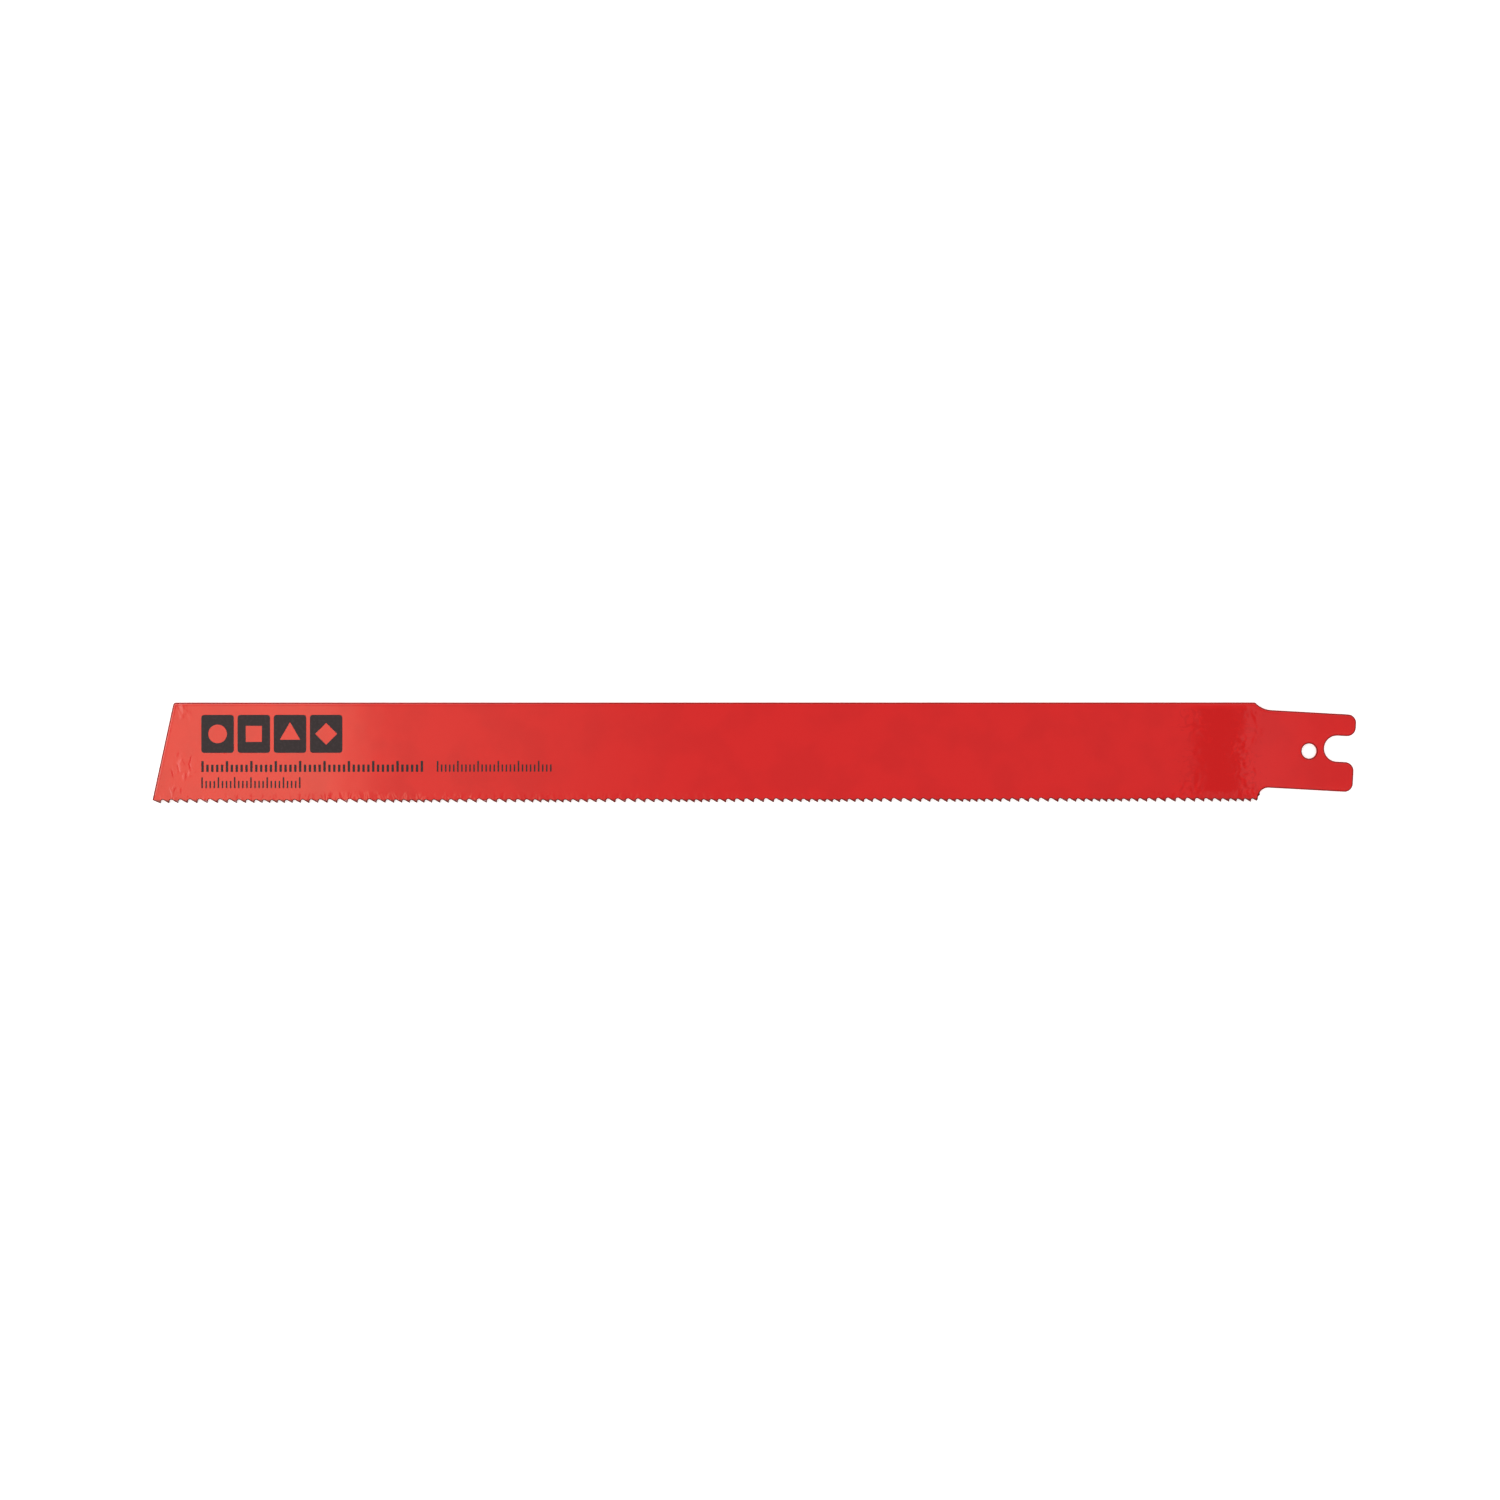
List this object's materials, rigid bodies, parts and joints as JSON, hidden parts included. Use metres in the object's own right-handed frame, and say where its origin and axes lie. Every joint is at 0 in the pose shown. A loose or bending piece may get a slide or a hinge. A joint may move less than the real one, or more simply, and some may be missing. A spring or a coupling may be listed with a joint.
{
  "type": "reciprocating saw blade",
  "caption": "Flat pipe-cutting blade for a reciprocating saw: wavy-pitch toothed edge, straight back, slanted tip and a forked tang with a locating hole.",
  "frame": {"origin": "centre of the tang's locating hole, half way through the plate", "axes": "+X along the back edge towards the open end of the fork, +Y from the teeth to the back edge, +Z out of the printed face"},
  "size_m": [0.3, 0.0249, 0.0018],
  "materials": {
    "red_lacquer": "glossy red lacquer over steel, all over, teeth included",
    "print_ink": "thin dark grey printing ink on the upper face"
  },
  "bodies": {
    "root": {"blade": "red_lacquer"}
  },
  "joints": []
}
